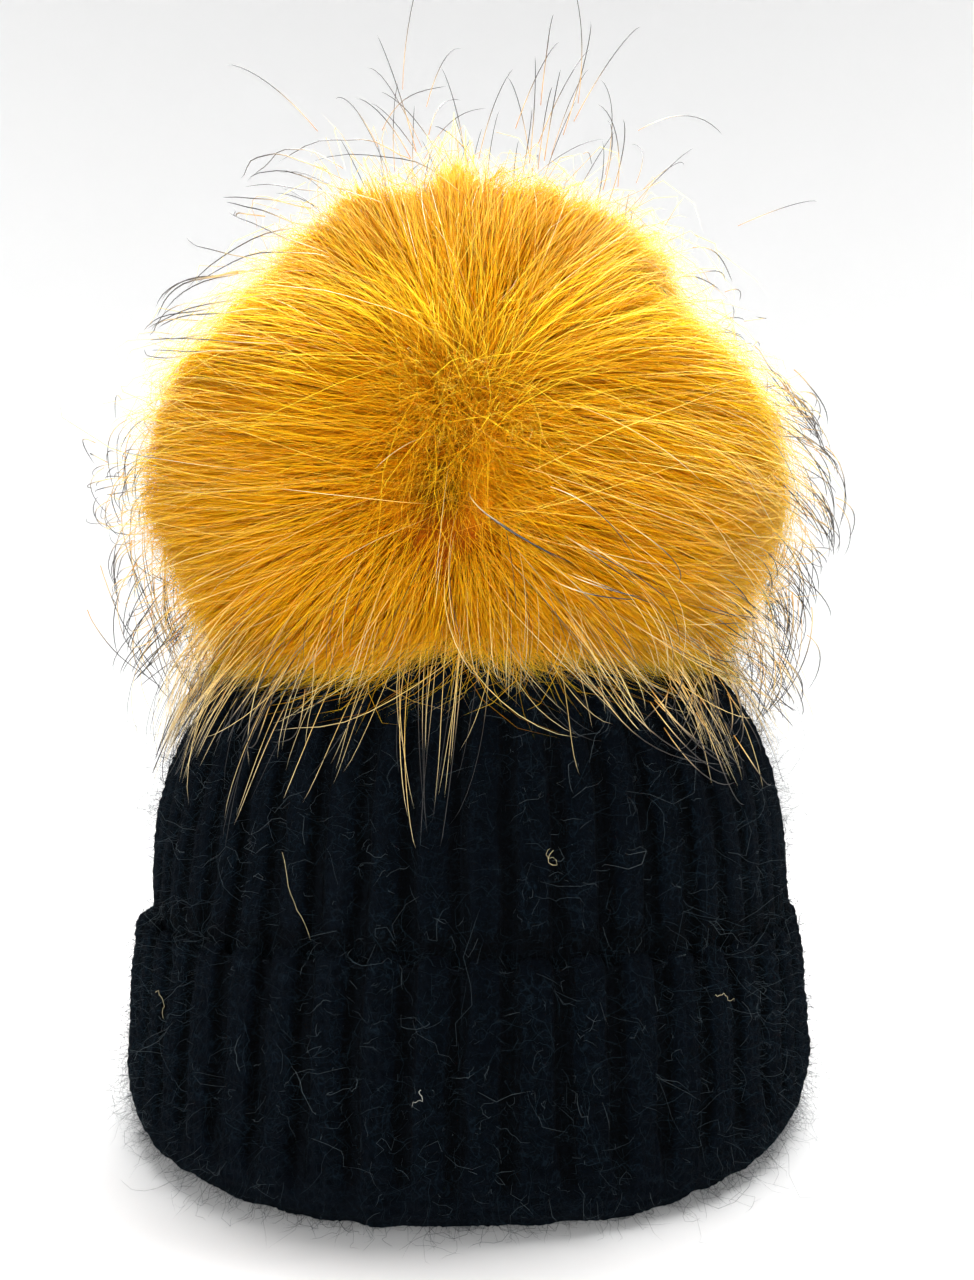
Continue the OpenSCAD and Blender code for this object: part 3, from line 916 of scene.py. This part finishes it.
def merged(name, parts):
    """One object made of several mesh objects, which are removed."""
    shape = bmesh.new()
    for part in parts:
        shape.from_mesh(part.data)
        mesh = part.data
        bpy.data.objects.remove(part)
        bpy.data.meshes.remove(mesh)
    mesh = bpy.data.meshes.new(name)
    shape.to_mesh(mesh)
    shape.free()
    obj = bpy.data.objects.new(name, mesh)
    bpy.context.scene.collection.objects.link(obj)
    return obj


def round_line(radius, z, turns):
    """Points on a level circle round the axis, at these turns."""
    angle = np.asarray(turns) * TAU
    return np.stack([radius * np.cos(angle), radius * np.sin(angle), 0 * angle + z], -1)


def twisted_ring(name, radius, z, thickness, twists, plies=2, dip=0.0, dips=0):
    """A ring of plied yarn that dips in and out of the cloth dips times."""
    turns = np.linspace(0, 1, twists * 12, endpoint=False)
    centre = round_line(radius, z, turns)
    centre[:, 2] += dip * np.sin(dips * TAU * turns)
    out = unit(centre * [1, 1, 0])
    strand_r = thickness / 2 / (1 + 1 / math.sin(math.pi / plies)) * 1.12
    made = []
    for ply in range(plies):
        turn = turns * twists * TAU + ply * TAU / plies
        offset = (out * np.cos(turn)[:, None] + UP * np.sin(turn)[:, None]) * (thickness / 2 - strand_r)
        made.append(tube(f"{name}_{ply}", centre + offset, strand_r, 8, closed=True))
    return merged(name, made)


def stitches(name, paths, radius, rng):
    """Short stitches of thread, each a thin sausage along its own path. paths is (n, k, 3)."""
    shape = np.ones(paths.shape[1] - 1)
    shape[[0, -1]] = 0.45, 0.8
    return strands(name, paths, np.tile(shape * radius, (len(paths), 1)), rng.random(len(paths)), rng, sides=7)


def arcs(start, end, lift, count=7):
    """Paths from each start to each end that rise by lift in between."""
    t = np.linspace(0, 1, count)[None, :, None]
    return start[:, None] * (1 - t) + end[:, None] * t + lift * np.sin(t * math.pi)


def fleece_band():
    """The brushed fleece sweatband inside the cuff, its pile lumpy and its edges soft."""
    low, high, thick = LINING_LOW[2], LINING_HIGH[2], 1.2 * MM
    z = np.linspace(low, high, 26)
    edge = np.minimum(1, np.minimum(z - low, high - z) / thick)
    outer = round_line(LINING_HIGH[0], 0, np.arange(300) / 300)[None] + z[:, None, None] * UP
    pile = 0.35 * MM * smooth_noise(outer, 4.5 * MM, 31, 2) + 0.3 * MM * smooth_noise(outer, 28 * MM, 32, 2)
    inner = outer - unit(outer * [1, 1, 0]) * ((thick + pile) * (0.35 + 0.65 * np.sqrt(edge)[:, None]))[..., None]
    return loft("fleece_sweatband", np.concatenate([outer, inner[::-1]]), closed_rows=True)


def sweatband_stitches(rng):
    """Slanting stitches of thread over the fleece band's upper edge."""
    count = 120
    turns = np.arange(count) / count
    top = LINING_HIGH[2]
    start = round_line(LINING_HIGH[0] - 1.35 * MM, top - 1.3 * MM, turns)
    end = round_line(LINING_HIGH[0] - 0.1 * MM, top + 0.5 * MM, turns + 0.7 / count)
    lift = 0.5 * MM * UP - unit(start * [1, 1, 0])[:, None] * 0.3 * MM
    return stitches("sweatband_whip_stitches", arcs(start, end, lift), 0.28 * MM, rng)


def seam_braid(rng):
    """The seam allowance up the inside of the back, a braid of chain stitches."""
    low, high = span("back_seam")
    z = np.linspace(low[2] + 1 * MM, high[2] - 2.2 * MM, int((high[2] - low[2]) / (1.9 * MM)))
    foot = np.stack([0 * z, 0 * z + high[1] - 0.7 * MM, z - 0.4 * MM], -1)
    paths = [arcs(foot, foot + np.array([side, 0, 2.4]) * MM, np.array([0, -0.5 * MM, 0])) for side in (-1, 1)]
    return stitches("back_seam_braid", np.concatenate(paths), 0.62 * MM, rng)


def felt_disc(name, low, high, seed):
    """A disc cut from felt, with a slightly uneven edge and faces."""
    radius = (high[0] - low[0]) / 2
    middle, half = (low[2] + high[2]) / 2, (high[2] - low[2]) / 2
    bend = np.linspace(-math.pi / 2, math.pi / 2, 9)
    r = np.concatenate([np.linspace(0.04, 0.9, 12) * radius, radius - half + half * np.cos(bend),
                        np.linspace(0.9, 0.04, 12) * radius])
    z = np.concatenate([np.full(12, -half), half * np.sin(bend), np.full(12, half)])
    ring = round_line(1, 0, np.arange(96) / 96)
    rows = ring[None] * r[:, None, None]
    rows[..., 2] = middle + z[:, None]
    uneven = smooth_noise(rows, 6 * MM, seed, 3)
    rows[..., :2] *= (1 + 0.012 * uneven * (r / radius)[:, None] ** 4)[..., None]
    rows[..., 2] += 0.06 * MM * uneven * np.sign(z)[:, None]
    return loft(name, rows)


def cross_stitches(name, radius, z, rng):
    """Thread over the rim of the snap, at four places, in bundles of five."""
    turns = (np.repeat(np.arange(4) + 0.5, 5) / 4) + np.tile(np.linspace(-1, 1, 5), 4) * 0.016
    start = round_line(radius - 1.6 * MM, z, turns)
    end = round_line(radius + 1.7 * MM, z, turns)
    return stitches(name, arcs(start, end, 0.35 * MM * UP), 0.17 * MM, rng)


def care_tag():
    """A blank folded satin label, bowed a little, its side edges rippled."""
    low, high = LABEL_LOW, LABEL_HIGH
    x_mid, thick = (low[0] + high[0]) / 2, (high[0] - low[0]) / 2
    width, length = high[1] - low[1], high[2] - low[2]
    y, z = np.meshgrid(np.linspace(low[1], high[1], 36), np.linspace(high[2], low[2], 40))
    drop = (high[2] - z) / length
    bow = x_mid + MM * drop * (0.55 * np.sin(y / width * 3.4 + 0.5) + 0.5 * np.sin(drop * 2.6))
    ripple = 0.05 * MM * np.cos(z / (0.9 * MM) * TAU) * smoothstep(0.86, 0.9, np.abs(y) / high[1])
    half = thick * (0.75 + 0.25 * smoothstep(0, 0.12, 1 - drop)) + ripple
    front, back = (np.stack([bow + side * half, y, z], -1) for side in (1, -1))
    return loft("blank_care_tag", np.concatenate([front, back[:, ::-1]], axis=1))


def tag_stitches(rng):
    """The row of thread that holds the label's top edge to the knitting."""
    low, high = span("label_stitches")
    y = np.linspace(low[1], high[1] - 1 * MM, 11)
    z = (low[2] + high[2]) / 2
    start = np.stack([0 * y + high[0], y, 0 * y + z], -1)
    end = start + np.array([0, 1.1 * MM, 0.15 * MM])
    tack = stitches("tack", arcs(start, end, np.array([0.2 * MM, 0, 0])), 0.24 * MM, rng)
    bar = tube("bar", [[low[0] + 0.5 * MM, at, z] for at in np.linspace(low[1], high[1], 9)], 0.42 * MM)
    return merged("tag_bar_tack", [bar, tack])


def pelt_bag():
    """The hide of the pom-pom, drawn together in pleats round the hole underneath."""
    mouth = math.asin(2.6 * MM / PELT_R)
    polar = np.concatenate([np.linspace(mouth, 0.9, 26), np.linspace(0.9, math.pi - 0.01, 40)[1:]])
    turns = np.arange(160) / 160
    ring = round_line(1, 0, turns)
    deep = 0.55 * MM * np.exp(-((polar - mouth) / 0.28) ** 2)[:, None]
    made = []
    for radius, share in ((PELT_R - 0.1 * MM, 1.0), (PELT_R - 1.4 * MM, 0.6)):
        size = radius + deep * (share * np.cos(22 * TAU * turns)[None] - 1)
        rows = ring[None] * (np.sin(polar)[:, None] * size)[..., None]
        rows[..., 2] = PELT_C[2] - np.cos(polar)[:, None] * size
        made.append(rows)
    return loft("pompom_hide", np.concatenate([made[0], made[1][::-1]]), closed_rows=True)


def filling():
    """The ball of fibre filling, in soft lumps."""
    low, high = span("pompom_stuffing")
    radius = (high[0] - low[0]) / 2 - 0.5 * MM
    polar = np.linspace(0.03, math.pi - 0.03, 60)
    ring = round_line(1, 0, np.arange(110) / 110)
    rows = ring[None] * np.sin(polar)[:, None, None]
    rows[..., 2] = -np.cos(polar)[:, None]
    lumps = 1 - 0.035 * (1 + smooth_noise(rows, 0.55, 41, 3)) / 2
    return loft("fibre_filling_ball", (low + high) / 2 + rows * radius * lumps[..., None])


# ---------------------------------------------------------------- the hat

KNIT, FUZZ, UNDERFUR, GUARD, METAL = (make() for make in (
    knit_material, fuzz_material, underfur_material, guard_hair_material, metal_material))
THREAD = fibre_material("sewing_thread", 0.6, 0.2, (4200, 2), (0.08, 0.8),
                        [(0.35, (0.010, 0.012, 0.018)), (0.7, (0.040, 0.046, 0.060))])
FELT = fibre_material("black_felt", 0.95, 0.4, (3000, 4, 0.75), (0.3, 0.7),
                      [(0.3, (0.004, 0.004, 0.005)), (0.75, (0.022, 0.022, 0.026))])
FILLING = fibre_material("fibre_filling", 0.9, 0.5, (1400, 4, 0.75), (0.6, 0.8),
                         [(0.3, (0.70, 0.69, 0.66)), (0.75, (0.88, 0.87, 0.85))])


def build_knitting():
    """The cuff, the body with its crown, and the fuzz and lint on them."""
    rng = np.random.default_rng(5)
    cuff, cuff_outer, cuff_normal = knit_cuff()
    dress(cuff, KNIT, "hat", "navy_rib_knit", "turned_up_cuff", "cuff_cast_on_edge")
    body, body_outer, body_normal = knit_tube()
    dress(body, KNIT, "hat", "navy_rib_knit", "knit_body")
    # Each patch: name, surface, normals, the heights it grows between, count, length, radius, points in a fibre.
    patches = [
        ("cuff_fuzz_1", cuff_outer, cuff_normal, 0, 1, 12000, 4.6 * MM, 0.026 * MM, 4),
        ("cuff_fuzz_2", cuff_outer, cuff_normal, 0, 1, 3800, 8.5 * MM, 0.028 * MM, 8),
        ("body_fuzz_1", body_outer, body_normal, CUFF_TOP - 1 * MM, 112 * MM, 12000, 4.8 * MM, 0.026 * MM, 4),
        ("body_fuzz_2", body_outer, body_normal, CUFF_TOP - 1 * MM, 105 * MM, 3800, 9.0 * MM, 0.028 * MM, 8),
    ]
    for name, outer, normal, low_z, high_z, count, length, radius, points in patches:
        roots, normals = outer_points(outer, normal, low_z, high_z, count, rng)
        dress(fuzz(name, roots, normals, length, radius, points, rng), FUZZ, "hat", "navy_rib_knit")
    dress(lint(rng), lint_material(), "hat", "navy_rib_knit")


LOCKS, HAIRS_PER_LOCK, LOCK_PIECES = 3900, 40, 14
CURLS, VEIL_HAIRS, WISPS, FRINGE_TUFTS, TOPKNOT_HAIRS = 2600, 560, 230, 70, 70


def build_fur():
    """The pom-pom's fur: its matted core, the dense locks in pieces of a size, and the guard hairs."""
    rng = np.random.default_rng(9)
    dress(fur_core(), core_material(), "pompom_fur", "golden_underfur", "pompom_underfur")
    path, width, tone = underfur(LOCKS, HAIRS_PER_LOCK, rng)
    for i, part in enumerate(np.array_split(np.arange(len(path)), LOCK_PIECES)):
        tuft = strands(f"underfur_locks_{i + 1}", path[part], width[part], tone[part], rng)
        dress(tuft, UNDERFUR, "pompom_fur", "golden_underfur")
    path, width, tone = frizz(CURLS, rng)
    dress(strands("whorl_frizz", path, width, tone, rng), UNDERFUR, "pompom_fur", "golden_underfur")
    hairs = [("veil", veil(VEIL_HAIRS, rng), ["pompom_guard_hair"]), ("wisps", wisps(WISPS, rng), []),
             ("fringe", fringe(FRINGE_TUFTS, rng), []), ("topknot", topknot(TOPKNOT_HAIRS, rng), [])]
    for name, (path, width, tone), nodes in hairs:
        made = strands(f"guard_hair_{name}", path, width, tone, rng)
        dress(made, GUARD, "pompom_fur", "cream_guard_hair", *nodes)


def build_lining(rng):
    """The fleece sweatband with its stitches, the back seam, and the yarn that gathers the crown."""
    band = dress(fleece_band(), fleece_material(), "hat", "fleece", "fleece_lining")
    dress(sweatband_stitches(rng), THREAD, "hat", "sewing_thread", "lining_stitches")
    dress(seam_braid(rng), KNIT, "hat", "navy_rib_knit", "back_seam")
    low, high = span("crown_gathering_yarn")
    middle = (low[2] + high[2]) / 2
    yarn = twisted_ring("gathering_yarn", high[0] - 0.8 * MM, middle, 1.6 * MM, 20, dip=0.3 * MM, dips=9)
    dress(yarn, KNIT, "hat", "navy_rib_knit", "crown_gathering_yarn")


def build_trim(rng):
    """The felt discs, the snap's thread and metal, the care label, and the pom-pom's hide and filling."""
    low, high = span("crown_backing_patch")
    patch = dress(felt_disc("felt_backing_patch", low, high, 51), FELT, "hat", "felt", "crown_backing_patch")
    disc = felt_disc("felt_base_disc", DISC_LOW, DISC_HIGH, 52)
    dress(disc, FELT, "pompom_base", "felt", "pompom_base_disc")
    for part, body in (("stud", "hat"), ("socket", "pompom_base")):
        low, high = span(f"{part}_stitches")
        sewn = cross_stitches(f"{part}_thread", high[0] * math.sqrt(2) - 0.9 * MM, low[2], rng)
        dress(sewn, THREAD, body, "sewing_thread", f"{part}_stitches")
    tag = dress(care_tag(), label_material(), "label", "label_satin", "care_label")
    dress(tag_stitches(rng), THREAD, "hat", "sewing_thread", "label_stitches")
    dress(pelt_bag(), pelt_material(), "pompom", "tanned_pelt", "pompom_pelt")
    ball = dress(filling(), FILLING, "pompom", "fibre_filling", "pompom_stuffing")
    low, high = span("pompom_draw_thread")
    thread = twisted_ring("drawn_thread", high[0] - 0.6 * MM, (low[2] + high[2]) / 2, 1.2 * MM, 12)
    dress(thread, THREAD, "pompom", "sewing_thread", "pompom_draw_thread")
    for node in ("snap_stud", "snap_socket", "snap_ring_spring"):
        for material_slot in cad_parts[node].material_slots:
            material_slot.material = METAL


# ---------------------------------------------------------------- camera, floor and light

CAMERA_AT = (4.1 * MM, -250 * MM, 81.9 * MM)
CAMERA_PITCH = 6.45
LENS = 27.17


def make_camera():
    """A close wide-angle camera that looks slightly up."""
    data = bpy.data.cameras.new("camera")
    data.lens = LENS
    data.sensor_width = 36
    data.clip_start = 0.01
    camera = bpy.data.objects.new("camera", data)
    camera.location = CAMERA_AT
    camera.rotation_euler = (math.radians(90 + CAMERA_PITCH), 0, 0)
    bpy.context.scene.collection.objects.link(camera)
    bpy.context.scene.camera = camera


def sweep_material():
    """Pale paint, darker and without a glow in front, that glows more the higher it is behind the hat."""
    s = Surface("pale_sweep", 0.7, Emission_Color=(1, 1, 1, 1))
    _, y, z = s.node("ShaderNodeSeparateXYZ", Vector=s.place()).outputs
    glow, behind = (s.node("ShaderNodeMapRange", Value=value, From_Min=low, From_Max=high, To_Min=0.0, To_Max=top)
                    .outputs[0] for value, low, high, top in ((z, 0.02, 0.7, 0.19), (y, -1.3, -0.5, 1.0)))
    s.feed(s.shader.inputs["Emission Strength"], s.maths("MULTIPLY", glow, behind))
    return s.colour(s.mix(behind, (0.35, 0.35, 0.35), (0.84, 0.84, 0.84))).material


def make_stage():
    """A pale floor that sweeps up into a round wall."""
    columns = 96
    flat_r, bend, wall = 1.0, 0.9, 1.2
    angle = np.linspace(0, math.pi / 2, 24)
    r = np.concatenate([[0.02, 0.3], flat_r + bend * np.sin(angle), [flat_r + bend]])
    z = np.concatenate([[0, 0], bend * (1 - np.cos(angle)), [bend + wall]])
    rows = round_line(1, 0, np.arange(columns) / columns)[None] * r[:, None, None]
    rows[..., 2] = z[:, None] - 0.05 * MM
    paint = sweep_material()
    for piece in (mesh_object("floor", rows.reshape(-1, 3), row_quads(len(r), columns)),
                  mesh_object("floor_middle", rows[0], np.arange(columns)[None])):
        piece.data.materials.append(paint)


def area_light(name, at, aim, size, power):
    """A rectangular lamp that faces aim."""
    data = bpy.data.lights.new(name, "AREA")
    data.shape = "RECTANGLE"
    data.size, data.size_y = size
    data.energy = power
    light = bpy.data.objects.new(name, data)
    light.location = at
    to = np.array(aim) - np.array(at)
    light.rotation_euler = (math.acos(-to[2] / np.linalg.norm(to)), 0, math.atan2(to[1], to[0]) - math.pi / 2)
    bpy.context.scene.collection.objects.link(light)


def make_light():
    """Even daylight, a long softbox overhead and a weak fill from the front."""
    world = bpy.data.worlds.new("studio")
    bpy.context.scene.world = world
    world.use_nodes = True
    background = world.node_tree.nodes["Background"]
    background.inputs["Color"].default_value = (1, 1, 1, 1)
    background.inputs["Strength"].default_value = 0.38
    middle = (0, 0, 0.13)
    area_light("overhead_softbox", (0.03, 0.13, 1.15), middle, (1.2, 0.25), 36)
    area_light("front_fill", (-0.15, -1.3, 0.16), middle, (0.5, 0.5), 22)
    bpy.context.scene.view_settings.view_transform = "Standard"


make_camera()
make_stage()
make_light()
build_knitting()
build_fur()
sewing_rng = np.random.default_rng(3)
build_lining(sewing_rng)
build_trim(sewing_rng)
